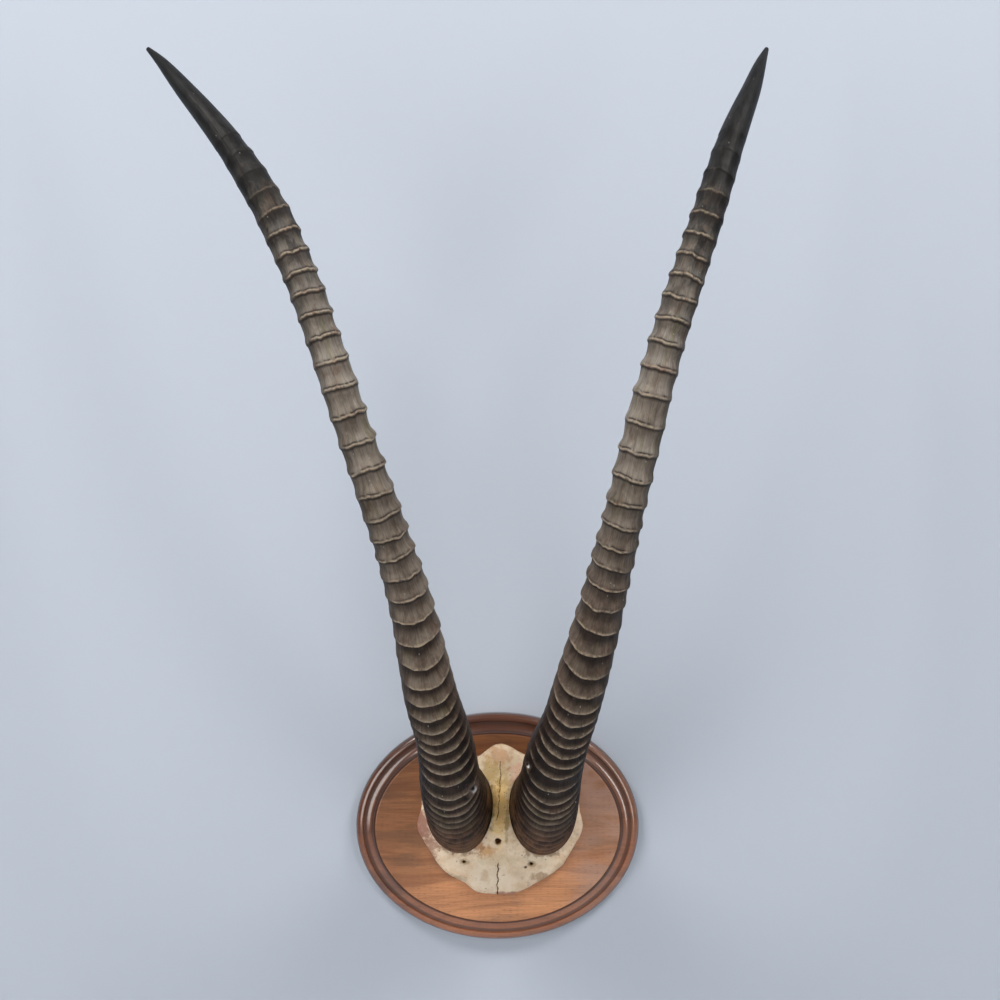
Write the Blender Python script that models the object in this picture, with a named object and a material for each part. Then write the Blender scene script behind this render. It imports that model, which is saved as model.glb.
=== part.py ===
"""A pair of sable antelope horns on their skull cap, fixed to an oval walnut wall plaque.

Metres, +Z up. The origin is the centre of the plaque's flat back, on the wall. The wall is the plane
Y = 0 and the front of the plaque faces -Y, so a place's distance from the wall is -Y. Left and right
are as seen from the front.
"""

import bmesh
import bpy
import math
import numpy as np
from mathutils import Vector

MM = 0.001
GAP = 0.3 * MM
# Cutters start clear of the body that they cut, reach into each other and are never quite the same size
CUTTER_START = -2.0 * MM
CUTTER_OVERLAP = 1.0 * MM
CUTTER_STEP = 0.1 * MM
CURVE_POINTS = 1500

# Surfaces: colour and roughness
WALNUT = ((0.23, 0.10, 0.045), 0.32)
BONE = ((0.68, 0.57, 0.42), 0.6)
KERATIN = ((0.11, 0.088, 0.062), 0.5)

# Plaque: an oval board of 10 by 8 inches, three quarters of an inch thick
PLAQUE_HALF_WIDTH = 127.0 * MM
PLAQUE_HALF_HEIGHT = 101.6 * MM
PLAQUE_THICK = 19.0 * MM
PLAQUE_SIDES = 56
MOULDING_WIDTH = 17.7 * MM
BACK_CHAMFER = 0.8 * MM
THUMB_FOOT = 6.0 * MM
THUMB_RADIUS = 6.5 * MM
THUMB_STEPS = 3
QUIRK_DEPTH = 0.8 * MM
QUIRK_SLOPE = 0.5 * MM
COVE_START = 8.4 * MM
COVE_STEPS = 4

# Keyhole slot in the back, which a screw in the wall hangs the plaque by
KEYHOLE_ENTRY_RADIUS = 6.4 * MM
KEYHOLE_ENTRY_HEIGHT = 42.0 * MM
KEYHOLE_TRAVEL = 22.0 * MM
KEYHOLE_NECK_RADIUS = 3.2 * MM
KEYHOLE_DEPTH = 11.0 * MM
KEYHOLE_LIP = 4.0 * MM
KEYHOLE_SIDES = 16

# Skull cap: its outline on the plaque as (across, up) in millimetres, round from the front lobe
CAP_OUTLINE = [
    (4, -58.5), (15, -58), (22, -55), (33, -49.5), (45, -42.5), (57, -33.5), (67, -18), (75, -4),
    (76.5, 5), (73, 20), (72, 36), (65, 51), (52, 62), (38, 66.5), (24, 66.5), (15, 71.5),
    (4, 76), (-7, 72.5), (-17, 65), (-31, 64.5), (-46, 60.5), (-59, 50), (-67, 35), (-68, 20),
    (-71.5, 6), (-69.5, -5), (-62, -17), (-54, -30), (-43, -41), (-26, -50.5), (-19, -56), (-7, -58),
]
OUTLINE_OVERLAP = 4
CAP_CENTRE = (3.0 * MM, 6.0 * MM)
CAP_SIDES = 64
CAP_RINGS = (0.985, 0.93, 0.84, 0.73, 0.6, 0.46, 0.31, 0.16)
CAP_EDGE = 6.5 * MM
CAP_EDGE_ROUND = 1.5 * MM
CAP_CROWN = 17.5 * MM
CAP_CROWN_FALL = 2.3
CAP_CROWN_SHOULDER = 0.7
MIDLINE = 3.0 * MM
SADDLE_RISE = 3.0 * MM
SADDLE_WIDTH = 11.0 * MM
SADDLE_HEIGHT = 20.0 * MM
SADDLE_LENGTH = 26.0 * MM

# Holes in the bone: (across, up), radius and depth
HOLES = {
    "midline_hole": ((0.6 * MM, -7.5 * MM), 2.9 * MM, 14.0 * MM),
    "brow_hole_left": ((-29.5 * MM, -27.0 * MM), 1.7 * MM, 9.0 * MM),
    "brow_hole_right": ((30.0 * MM, -28.5 * MM), 1.8 * MM, 9.0 * MM),
}
HOLE_SIDES = 12
HOLE_CUTTER_END = 79.0 * MM

# Horns: stations along each centre line as (across, out from the wall, up, half width over the rings),
# all in millimetres
HORN_STATIONS = {
    "horn_left": [
        (-32.6, 27, 17, 29.6), (-34, 42, 24, 30), (-38.5, 78, 42.5, 27.8), (-42, 138, 84, 24.6),
        (-46.5, 170, 110, 22.8), (-52, 197, 133, 22), (-63.5, 243, 200, 18.8), (-85, 272, 278, 16),
        (-110, 284, 353, 15.2), (-135, 284, 428, 14.5), (-168, 271, 505.5, 14.4), (-216, 239, 579.5, 10.5),
        (-248.5, 213, 619, 7.4), (-269.5, 194, 644, 4.2), (-282, 182, 657, 1.7),
    ],
    "horn_right": [
        (39, 27, 15.5, 29.8), (40.5, 42, 22.5, 30.2), (44, 78, 42, 27.8), (49.5, 138, 84, 24.8),
        (57, 170, 110, 22.2), (62.5, 197, 133, 21.6), (78, 243, 200, 19.2), (95, 272, 278, 16.8),
        (112, 284, 353, 16.1), (132.5, 284, 428, 14.8), (158.5, 271, 505.5, 13.6), (184.5, 239, 579.5, 10.6),
        (201.5, 213, 619, 7.4), (211.5, 194, 644, 4.2), (217.5, 182, 657, 1.7),
    ],
}
HORN_SIDES = 16
# Depth from front to back over width, by length along the horn
DEPTH_RATIO = [(0, 1.26), (60, 1.22), (160, 1.14), (300, 1.08), (500, 1.03), (800, 1.0)]
# Depth is measured square to the horn, down to this much of a slanted section's own depth
LEAST_SLANT = 0.5
# The base section lies parallel to the wall and turns square to the horn over this length
BASE_TURN = 75.0 * MM
BASE_TUCK = 0.86
BASE_TUCK_LENGTH = 13.0 * MM
POCKET_REACH = 33.0 * MM

# Rings: the gap between neighbours and their height, by length along the horn, in millimetres
FIRST_RING = {"horn_left": 16.0 * MM, "horn_right": 14.0 * MM}
LAST_RING = 645.0 * MM
RING_GAPS = [(20, 6), (75, 11), (110, 21), (140, 14), (215, 14.5), (255, 19.5), (345, 15),
             (395, 18.5), (440, 22), (560, 16), (650, 19.5)]
RING_HEIGHTS = [(15, 0.9), (45, 1.5), (80, 2.3), (120, 3.4), (240, 3.6), (320, 3.0), (420, 2.8), (560, 2.1),
                (620, 1.3), (650, 0.7)]
# Where the skin is lowest between one ring and the next, as a share of the gap: a hollow under a lip in
# the lower half and a waist between beads above
RING_FEET = [(0, 0.65), (100, 0.86), (270, 0.86), (360, 0.55)]
# The rings stand up most on the side that faces forward and to the other horn
RING_WEAK_SIDE = 0.35
RING_STRONG_TURN = math.radians(28)
TIP_STEPS = 7


def smooth_curve(stations, count):
    """Points, evenly spaced along the chords, of a natural cubic curve through rows of stations."""
    points = np.array(stations, float)
    spans = np.linalg.norm(np.diff(points[:, :3], axis=0), axis=1)
    along = np.concatenate([[0.0], np.cumsum(spans)])
    rows = len(points)
    system = np.eye(rows)
    right = np.zeros((rows, points.shape[1]))
    for i in range(1, rows - 1):
        system[i, i - 1:i + 2] = spans[i - 1], 2 * (spans[i - 1] + spans[i]), spans[i]
        rise = (points[i + 1] - points[i]) / spans[i]
        fall = (points[i] - points[i - 1]) / spans[i - 1]
        right[i] = 6 * (rise - fall)
    bend = np.linalg.solve(system, right)
    where = np.linspace(0.0, along[-1], count)
    piece = np.clip(np.searchsorted(along, where) - 1, 0, rows - 2)
    span = spans[piece][:, None]
    after = (where - along[piece])[:, None]
    before = span - after
    curve = (bend[piece] * before**3 + bend[piece + 1] * after**3) / (6 * span)
    curve += (points[piece] / span - bend[piece] * span / 6) * before
    curve += (points[piece + 1] / span - bend[piece + 1] * span / 6) * after
    return curve


def from_table(table, length):
    """A value that changes evenly between a table's (length in mm, value) rows."""
    rows = np.array(table, float)
    return float(np.interp(length, rows[:, 0] * MM, rows[:, 1]))


def material(name, colour, roughness):
    made = bpy.data.materials.new(name)
    made.use_nodes = True
    shader = made.node_tree.nodes["Principled BSDF"]
    shader.inputs["Base Color"].default_value = (*colour, 1.0)
    shader.inputs["Roughness"].default_value = roughness
    shader.inputs["Metallic"].default_value = 0.0
    return made


def new_object(name, mesh_builder, surface=None, sharp_angle=35):
    """An object from a bmesh, shaded smooth with its arrises sharp; without a surface it is a guide."""
    mesh = bpy.data.meshes.new(name)
    bmesh.ops.recalc_face_normals(mesh_builder, faces=mesh_builder.faces)
    mesh_builder.to_mesh(mesh)
    mesh_builder.free()
    made = bpy.data.objects.new(name, mesh)
    bpy.context.collection.objects.link(made)
    if surface is None:
        made.hide_render = True
        made.display_type = "WIRE"
    else:
        mesh.materials.append(surface)
        mesh.shade_smooth()
        mesh.set_sharp_from_angle(angle=math.radians(sharp_angle))
    return made


def loft(mesh_builder, loops):
    """A closed body through loops of points, with a flat cap on the first and the last loop."""
    rows = [[mesh_builder.verts.new(point) for point in loop] for loop in loops]
    for lower, upper in zip(rows, rows[1:]):
        for i in range(len(lower)):
            j = (i + 1) % len(lower)
            mesh_builder.faces.new((lower[i], lower[j], upper[j], upper[i]))
    mesh_builder.faces.new(rows[0])
    mesh_builder.faces.new(rows[-1])


def cut(body, cutter):
    step = body.modifiers.new(cutter.name, "BOOLEAN")
    step.operation = "DIFFERENCE"
    step.solver = "EXACT"
    step.object = cutter


def plaque_profile():
    """The board's edge from back to face: rows of (distance in from the rim, distance from the wall)."""
    profile = [(BACK_CHAMFER, 0.0), (0.0, BACK_CHAMFER), (0.0, THUMB_FOOT)]
    for step in range(1, THUMB_STEPS + 1):
        turn = math.pi / 2 * step / THUMB_STEPS
        inset = THUMB_RADIUS * (1 - math.cos(turn))
        profile.append((inset, THUMB_FOOT + THUMB_RADIUS * math.sin(turn)))
    cove_foot = THUMB_FOOT + THUMB_RADIUS - QUIRK_DEPTH
    profile.append((THUMB_RADIUS + QUIRK_SLOPE, cove_foot))
    for step in range(COVE_STEPS + 1):
        turn = math.pi / 2 * step / COVE_STEPS
        inset = COVE_START + (MOULDING_WIDTH - COVE_START) * math.sin(turn)
        profile.append((inset, PLAQUE_THICK - (PLAQUE_THICK - cove_foot) * math.cos(turn)))
    return profile


def oval_loop(inset, out):
    """The plaque's rim moved in evenly by inset, at a distance out from the wall."""
    loop = []
    for i in range(PLAQUE_SIDES):
        turn = 2 * math.pi * i / PLAQUE_SIDES
        rim = Vector((PLAQUE_HALF_WIDTH * math.cos(turn), PLAQUE_HALF_HEIGHT * math.sin(turn)))
        normal = Vector((math.cos(turn) / PLAQUE_HALF_WIDTH, math.sin(turn) / PLAQUE_HALF_HEIGHT))
        point = rim - inset * normal.normalized()
        loop.append((point.x, -out, point.y))
    return loop


def round_bar(name, centre, radius, back, front):
    """A round cutter along the wall's normal, between two distances from the wall."""
    builder = bmesh.new()
    loops = []
    for out in (back, front):
        loop = []
        for i in range(HOLE_SIDES):
            turn = 2 * math.pi * i / HOLE_SIDES
            loop.append((centre[0] + radius * math.cos(turn), -out, centre[1] + radius * math.sin(turn)))
        loops.append(loop)
    loft(builder, loops)
    return new_object(name, builder)


def slot_loop(radius, low, high, out):
    """An upright slot with a round top and a round foot."""
    loop = []
    half = KEYHOLE_SIDES // 2
    for centre, start in ((high, 0.0), (low, math.pi)):
        for i in range(half + 1):
            turn = start + math.pi * i / half
            loop.append((radius * math.cos(turn), -out, centre + radius * math.sin(turn)))
    return loop


def slot_bar(name, radius, low, high, back, front):
    builder = bmesh.new()
    loft(builder, [slot_loop(radius, low, high, back), slot_loop(radius, low, high, front)])
    return new_object(name, builder)


def make_plaque():
    builder = bmesh.new()
    loft(builder, [oval_loop(inset, out) for inset, out in plaque_profile()])
    plaque = new_object("plaque", builder, material("walnut", *WALNUT), sharp_angle=28)
    entry = KEYHOLE_ENTRY_HEIGHT
    top = entry + KEYHOLE_TRAVEL
    head_radius = KEYHOLE_ENTRY_RADIUS - CUTTER_STEP
    head_depth = KEYHOLE_DEPTH - CUTTER_STEP
    neck_depth = KEYHOLE_LIP + CUTTER_OVERLAP
    cut(plaque, round_bar("keyhole_entry", (0.0, entry), KEYHOLE_ENTRY_RADIUS, CUTTER_START, KEYHOLE_DEPTH))
    cut(plaque, slot_bar("keyhole_neck", KEYHOLE_NECK_RADIUS, entry, top, CUTTER_START, neck_depth))
    cut(plaque, slot_bar("keyhole_head", head_radius, entry, top, KEYHOLE_LIP, head_depth))
    return plaque


def cap_outline():
    """The skull cap's outline as a smooth closed curve, CAP_SIDES points at even angles."""
    ring = [(x, 0.0, z) for x, z in CAP_OUTLINE]
    wrapped = ring[-OUTLINE_OVERLAP:] + ring + ring[:OUTLINE_OVERLAP]
    fine = smooth_curve(wrapped, CURVE_POINTS)[:, (0, 2)] * MM
    fine -= np.array(CAP_CENTRE)
    angles = np.arctan2(fine[:, 1], fine[:, 0])
    order = np.argsort(angles)
    reach = np.hypot(fine[:, 0], fine[:, 1])[order]
    turns = 2 * math.pi * np.arange(CAP_SIDES) / CAP_SIDES - math.pi
    lengths = np.interp(turns, angles[order], reach, period=2 * math.pi)
    return turns, lengths


def cap_height(x, z, share):
    """The bone's thickness at a place whose share of the way from the centre to the edge is given."""
    crown = (1 - share**CAP_CROWN_FALL) ** CAP_CROWN_SHOULDER
    across = (x - MIDLINE) / SADDLE_WIDTH
    up = (z - SADDLE_HEIGHT) / SADDLE_LENGTH
    saddle = SADDLE_RISE * math.exp(-across**2 - up**2)
    return CAP_EDGE + CAP_CROWN * crown + saddle


def make_skull_cap(horns):
    turns, lengths = cap_outline()
    foot = PLAQUE_THICK + GAP

    def loop(share, thickness=None):
        points = []
        for turn, length in zip(turns, lengths):
            x = CAP_CENTRE[0] + share * length * math.cos(turn)
            z = CAP_CENTRE[1] + share * length * math.sin(turn)
            height = cap_height(x, z, share) if thickness is None else thickness
            points.append((x, -foot - height, z))
        return points

    builder = bmesh.new()
    rows = [loop(1.0, 0.0), loop(1.0, CAP_EDGE - CAP_EDGE_ROUND)]
    rows += [loop(share) for share in CAP_RINGS]
    loft(builder, rows)
    cap = new_object("skull_cap", builder, material("bone", *BONE), sharp_angle=50)
    for name in horns:
        cut(cap, horn_body(name + "_pocket", name, grown=GAP, end=POCKET_REACH))
    for name, (centre, radius, depth) in HOLES.items():
        reach = math.hypot(centre[0] - CAP_CENTRE[0], centre[1] - CAP_CENTRE[1])
        turn = math.atan2(centre[1] - CAP_CENTRE[1], centre[0] - CAP_CENTRE[0])
        share = reach / np.interp(turn, turns, lengths)
        bottom = foot + cap_height(centre[0], centre[1], share) - depth
        cut(cap, round_bar(name, centre, radius, bottom, HOLE_CUTTER_END))
    return cap


def ring_lengths(horn):
    """Where each ring's crest lies along the horn, from the gaps between neighbours."""
    crests = [FIRST_RING[horn]]
    while crests[-1] < LAST_RING:
        crests.append(crests[-1] + from_table(RING_GAPS, crests[-1]) * MM)
    return crests


def horn_body(object_name, horn, grown=0.0, end=None, surface=None):
    """One horn from its stations: a smooth taper with a stepped ring at each crest.

    Grown makes it fatter all round and end stops it short, for the pocket in the bone.
    """
    fine = smooth_curve(HORN_STATIONS[horn], CURVE_POINTS) * MM
    centres = np.stack([fine[:, 0], -fine[:, 1], fine[:, 2]], axis=1)
    along = np.concatenate([[0.0], np.cumsum(np.linalg.norm(np.diff(centres, axis=0), axis=1))])
    courses = np.gradient(centres, along, axis=0)
    inward = 1.0 if horn == "horn_left" else -1.0

    # Lengths at which a loop of points lies, each with the share of the ring's height taken off there
    loops = [(0.0, 0.0), (BASE_TUCK_LENGTH, 0.0)]
    crests = ring_lengths(horn)
    for crest, following in zip(crests, crests[1:]):
        loops.append((crest, 0.0))
        loops.append((crest + from_table(RING_FEET, crest) * (following - crest), 1.0))
    loops.append((crests[-1], 0.0))
    for step in range(1, TIP_STEPS + 1):
        loops.append((crests[-1] + (along[-1] - crests[-1]) * step / TIP_STEPS, 0.0))
    if end is not None:
        loops = [(0.0, 0.0), (BASE_TUCK_LENGTH, 0.0), (end, 0.0)]

    rows = []
    for length, lowered in loops:
        centre = Vector([float(np.interp(length, along, centres[:, k])) for k in range(3)])
        course = Vector([float(np.interp(length, along, courses[:, k])) for k in range(3)]).normalized()
        half_width = float(np.interp(length, along, fine[:, 3]))
        settle = min(length / BASE_TURN, 1.0)
        settle = settle * settle * (3 - 2 * settle)
        square = Vector((0.0, -1.0, 0.0)).lerp(course, settle).normalized()
        side = (Vector((1.0, 0.0, 0.0)) - square.x * square).normalized()
        front = side.cross(square)
        stretch = 1 / max(square.dot(course), LEAST_SLANT)
        tuck = BASE_TUCK + (1 - BASE_TUCK) * min(length / BASE_TUCK_LENGTH, 1.0)
        height = from_table(RING_HEIGHTS, length) * MM * lowered
        ratio = from_table(DEPTH_RATIO, length)
        points = []
        for i in range(HORN_SIDES):
            turn = 2 * math.pi * i / HORN_SIDES
            strong = 0.5 + 0.5 * math.cos(turn - math.pi / 2 + inward * RING_STRONG_TURN)
            step_in = height * (RING_WEAK_SIDE + (1 - RING_WEAK_SIDE) * strong)
            reach = half_width * tuck + grown - step_in
            across = reach * math.cos(turn) * side
            forward = (reach + half_width * tuck * (ratio - 1)) * math.sin(turn) * stretch * front
            points.append(centre + across + forward)
        rows.append(points)
    builder = bmesh.new()
    loft(builder, rows)
    return new_object(object_name, builder, surface, sharp_angle=60)


def main():
    for old in list(bpy.data.objects):
        bpy.data.objects.remove(old)
    make_plaque()
    make_skull_cap(HORN_STATIONS)
    for name in HORN_STATIONS:
        horn_body(name, name, surface=material(name + "_keratin", *KERATIN))


main()
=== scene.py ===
"""The finished look of a pair of sable antelope horns on their skull cap, on an oval walnut wall plaque.

Metres, +Z up. The origin is the centre of the plaque's flat back, on the wall. The wall is the plane
Y = 0 and the front of the plaque faces -Y, so a place's distance from the wall is -Y. Left and right
are as seen from the front. Tables are in millimetres.
"""

import bpy
import math
import numpy as np
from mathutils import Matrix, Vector


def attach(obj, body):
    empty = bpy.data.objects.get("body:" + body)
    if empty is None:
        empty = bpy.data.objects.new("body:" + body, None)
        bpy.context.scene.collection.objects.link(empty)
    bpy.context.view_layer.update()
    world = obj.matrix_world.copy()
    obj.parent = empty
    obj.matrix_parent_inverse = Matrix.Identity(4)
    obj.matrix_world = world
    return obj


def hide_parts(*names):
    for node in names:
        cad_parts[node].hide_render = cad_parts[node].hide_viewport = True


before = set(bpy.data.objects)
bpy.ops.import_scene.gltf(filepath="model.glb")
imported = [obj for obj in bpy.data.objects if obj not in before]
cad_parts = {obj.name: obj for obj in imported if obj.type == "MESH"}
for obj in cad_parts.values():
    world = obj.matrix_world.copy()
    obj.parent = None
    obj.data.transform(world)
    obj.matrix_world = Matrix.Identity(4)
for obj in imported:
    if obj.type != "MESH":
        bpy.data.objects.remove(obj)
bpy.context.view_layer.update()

MM = 0.001
GAP = 0.3
# Points of a rolled sheet's seam that are closer than this, in metres, are joined
SEAM_JOIN = 0.000002

# Camera: level, square to the wall, with the plaque near the foot of the picture. Its place is in metres
CAMERA_PLACE = (0.0023, -1.7, 0.2928)
CAMERA_LENS = 67.8
SENSOR_WIDTH = 36.0

# Wall, and how far the board laps over the edge of its opening
WALL_HALF_WIDTH = 3600.0
WALL_SETBACK = 0.6
WALL_OVERLAP = 2.5
# Floor and lamps, in metres
FLOOR_SIZE = 9.0
FLOOR_HEIGHT = -0.75
LAMP_DISTANCE = 2.4
LAMP_TARGET = (0.0, -0.12, 0.28)

# Plaque
PLAQUE_HALF_WIDTH = 127.0
PLAQUE_HALF_HEIGHT = 101.6
PLAQUE_THICK = 19.0
PLAQUE_SIDES = 288
MOULDING_WIDTH = 17.7
BACK_CHAMFER = 0.8
THUMB_FOOT = 6.0
THUMB_RADIUS = 6.5
THUMB_STEPS = 12
QUIRK_DEPTH = 0.8
QUIRK_SLOPE = 0.5
COVE_START = 8.4
COVE_STEPS = 14
FACE_ARRIS = 0.9
ARRIS_STEPS = 4
BOARD_SMOOTH_ANGLE = 24
KEYHOLE_ENTRY_RADIUS = 6.4
KEYHOLE_ENTRY_HEIGHT = 42.0
KEYHOLE_TRAVEL = 22.0
KEYHOLE_NECK_RADIUS = 3.2
KEYHOLE_DEPTH = 11.0
KEYHOLE_LIP = 4.0
KEYHOLE_SIDES = 48
CUT_CLEARANCE = 2.0

# Skull cap
CAP_OUTLINE = [
    (4, -58.5), (15, -58), (22, -55), (33, -49.5), (45, -42.5), (57, -33.5), (67, -18), (75, -4),
    (76.5, 5), (73, 20), (72, 36), (65, 51), (52, 62), (38, 66.5), (24, 66.5), (15, 71.5),
    (4, 76), (-7, 72.5), (-17, 65), (-31, 64.5), (-46, 60.5), (-59, 50), (-67, 35), (-68, 20),
    (-71.5, 6), (-69.5, -5), (-62, -17), (-54, -30), (-43, -41), (-26, -50.5), (-19, -56), (-7, -58),
]
OUTLINE_POINTS = 1600
CAP_CENTRE = (3.0, 6.0)
CAP_USUAL_RADIUS = 62.0
CAP_SIDES = 300
CAP_ROWS = 104
CAP_EDGE = 6.5
CAP_EDGE_ROUND = 1.5
CAP_EDGE_STEPS = 5
CAP_SMOOTH_ANGLE = 45
# Extra columns of the mesh close to the seam and the crack, and the turn from one to the next
SEAM_COLUMNS = 16
SEAM_TURN = 0.0035
CAP_CROWN = 17.5
CAP_CROWN_FALL = 2.3
CAP_CROWN_SHOULDER = 0.7
MIDLINE = 3.0
SADDLE_RISE = 3.0
SADDLE_WIDTH = 11.0
SADDLE_HEIGHT = 20.0
SADDLE_LENGTH = 26.0
MIDLINE_HOLE = (0.6, -7.5)
MIDLINE_HOLE_RADIUS = 2.9
BROW_HOLES = ((-29.5, -27.0), (30.0, -28.5))
BROW_HOLE_RADIUS = 1.75
HOLE_FLOOR = 8.0
HOLE_BAR_LENGTH = 70.0
HOLE_SIDES = 40
# A square that the lumps of the bone are laid out on, by half its width: it is larger than the cap
LUMP_FIELD = 130
# The open seam in the brow and the crack between the horns, as (across, up) down their lengths
SUTURE = [(1.0, -27), (0.2, -30), (1.0, -33), (0.1, -36), (-0.3, -39), (0.9, -42), (0.4, -45), (-0.6, -48),
          (0.5, -51), (0.2, -54), (0.1, -58)]
CRACK = [(2.6, 62), (2.2, 56), (3.2, 50), (2.0, 44), (2.6, 39), (1.2, 34), (1.8, 29), (0.6, 24), (1.0, 18),
         (-0.6, 12)]

# Horns: stations along each centre line as (across, out from the wall, up, half width over the rings)
HORN_STATIONS = {
    "horn_left": [
        (-32.6, 27, 17, 29.6), (-34, 42, 24, 30), (-38.5, 78, 42.5, 27.8), (-42, 138, 84, 24.6),
        (-46.5, 170, 110, 22.8), (-52, 197, 133, 22), (-63.5, 243, 200, 18.8), (-85, 272, 278, 16),
        (-110, 284, 353, 15.2), (-135, 284, 428, 14.5), (-168, 271, 505.5, 14.4), (-216, 239, 579.5, 10.5),
        (-248.5, 213, 619, 7.4), (-269.5, 194, 644, 4.2), (-282, 182, 657, 1.7),
    ],
    "horn_right": [
        (39, 27, 15.5, 29.8), (40.5, 42, 22.5, 30.2), (44, 78, 42, 27.8), (49.5, 138, 84, 24.8),
        (57, 170, 110, 22.2), (62.5, 197, 133, 21.6), (78, 243, 200, 19.2), (95, 272, 278, 16.8),
        (112, 284, 353, 16.1), (132.5, 284, 428, 14.8), (158.5, 271, 505.5, 13.6), (184.5, 239, 579.5, 10.6),
        (201.5, 213, 619, 7.4), (211.5, 194, 644, 4.2), (217.5, 182, 657, 1.7),
    ],
}
LINE_POINTS = 1500
HORN_SIDES = 120
HORN_SMOOTH_ANGLE = 80
DEPTH_RATIO = [(0, 1.26), (60, 1.22), (160, 1.14), (300, 1.08), (500, 1.03), (800, 1.0)]
BASE_TURN = 75.0
BASE_TUCK = 0.86
BASE_TUCK_LENGTH = 13.0
POCKET_LENGTHS = (0.0, BASE_TUCK_LENGTH, 19.0, 26.0, 33.0)
FIRST_RING = {"horn_left": 16.0, "horn_right": 14.0}
LAST_RING = 690.0
RING_GAPS = [(20, 6), (75, 11), (110, 21), (140, 14), (215, 14.5), (255, 19.5), (345, 15),
             (395, 18.5), (440, 22), (560, 16), (650, 19.5)]
RING_HEIGHTS = [(15, 1.3), (45, 2.3), (80, 3.2), (120, 4.2), (240, 4.0), (320, 3.0), (420, 2.8), (560, 2.1),
                (620, 1.5), (650, 1.1), (700, 0.7)]
# How far the skin lies in from the crests on the way from one ring (0) up to the next (1): close folds at
# the root, then lips that hang over a hollow, and higher up beads with a waist between them
FOLD_SHAPE = [(0, 0), (0.1, 0.08), (0.22, 0.35), (0.4, 0.8), (0.6, 1), (0.8, 0.95), (0.92, 0.5), (1, 0)]
LIP_SHAPE = [(0, 0), (0.045, 0.03), (0.09, 0.09), (0.15, 0.2), (0.22, 0.35), (0.33, 0.6), (0.46, 0.82),
             (0.6, 0.95), (0.72, 1), (0.885, 0.95), (0.93, 0.8), (0.965, 0.5), (1, 0)]
BEAD_SHAPE = [(0, 0), (0.06, 0.02), (0.12, 0.1), (0.17, 0.25), (0.24, 0.6), (0.32, 0.86), (0.45, 1),
              (0.6, 0.98), (0.75, 0.86), (0.88, 0.68), (0.93, 0.56), (0.965, 0.25), (1, 0)]
# The share of a ring's height that it keeps on its weak side, by length along the horn
WEAK_SIDE = [(0, 0.4), (60, 0.2), (180, 0.04), (260, 0.12), (330, 0.35), (650, 0.45)]
# How far a ring hangs towards the root at its front
RING_SAG = [(0, 0), (40, 3), (90, 10), (260, 10.5), (340, 5), (440, 1.5), (650, 0)]
# How far the rings' strong side turns from the front towards the other horn, in degrees
STRONG_TURN = [(0, 0), (120, 2), (300, 18), (650, 28)]
# Where the rows of the mesh lie between one ring and the next, with fewer of them between close rings
ROOT_ROWS = 12
TIP_ROWS = 64
CLOSE_RINGS = 9.0
RING_SHARES = (0.0, 0.02, 0.045, 0.07, 0.09, 0.115, 0.15, 0.22, 0.33, 0.46, 0.6, 0.72, 0.82, 0.885, 0.93,
               0.965)
WRINKLE_SHARES = (0.0, 0.06, 0.13, 0.22, 0.34, 0.48, 0.62, 0.76, 0.87, 0.94)
# Small chips in the horns, as (across, out from the wall, up), and their radius
CHIPS = {"horn_left": ((-20.3, 121.1, 50.5), 2.1), "horn_right": ((25.2, 138.3, 73.0), 1.0)}
CHIP_DEPTH = 1.6
# Nicks round the edge of a ring, and how far the largest shifts it
RING_NICKS = 37
NICK_SIZE = 0.5
# The rounded end of a horn, and the half width that its last row keeps
TIP_RADIUS = 1.7
TIP_REMNANT = 0.12
# The half width of the straightened horn that the streaks and patches are laid out on
STRAIGHT_RADIUS = 20.0
SEEDS = {"horn_left": 11, "horn_right": 37}
# How much painted shade darkens each horn's lower third
PAINTED_LOW_SHADE = {"horn_left": 0.15, "horn_right": 0.7}


def smooth_step(value, start=0.0, end=1.0):
    share = np.clip((value - start) / (end - start), 0.0, 1.0)
    return share * share * (3 - 2 * share)


def from_table(table, lengths):
    rows = np.array(table, float)
    return np.interp(lengths, rows[:, 0], rows[:, 1])


def smooth_curve(stations, count):
    """Points, evenly spaced along the chords, of a natural cubic curve through rows of stations."""
    points = np.array(stations, float)
    spans = np.linalg.norm(np.diff(points[:, :3], axis=0), axis=1)
    along = np.concatenate([[0.0], np.cumsum(spans)])
    rows = len(points)
    system = np.eye(rows)
    right = np.zeros((rows, points.shape[1]))
    for i in range(1, rows - 1):
        system[i, i - 1:i + 2] = spans[i - 1], 2 * (spans[i - 1] + spans[i]), spans[i]
        rise = (points[i + 1] - points[i]) / spans[i]
        fall = (points[i] - points[i - 1]) / spans[i - 1]
        right[i] = 6 * (rise - fall)
    bend = np.linalg.solve(system, right)
    where = np.linspace(0.0, along[-1], count)
    piece = np.clip(np.searchsorted(along, where) - 1, 0, rows - 2)
    span = spans[piece][:, None]
    after = (where - along[piece])[:, None]
    before = span - after
    curve = (bend[piece] * before**3 + bend[piece + 1] * after**3) / (6 * span)
    curve += (points[piece] / span - bend[piece] * span / 6) * before
    curve += (points[piece + 1] / span - bend[piece + 1] * span / 6) * after
    return curve


def unevenness(seed, down, round_share, patches_round):
    """A smooth random field from -1 to 1. Down counts patches, and round_share closes on itself at 1."""
    heights = np.random.RandomState(seed).uniform(-1, 1, (int(down.max()) + 3, patches_round))
    across = round_share * patches_round
    low, left = np.floor(down).astype(int), np.floor(across).astype(int)
    u, v = smooth_step(down - low), smooth_step(across - left)
    low = np.clip(low, 0, len(heights) - 2)
    left, right = left % patches_round, (left + 1) % patches_round
    first = heights[low, left] * (1 - v) + heights[low, right] * v
    second = heights[low + 1, left] * (1 - v) + heights[low + 1, right] * v
    return first * (1 - u) + second * u


# Working with the mesh tools

def nothing_selected():
    bpy.ops.object.select_all(action="DESELECT")


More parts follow.
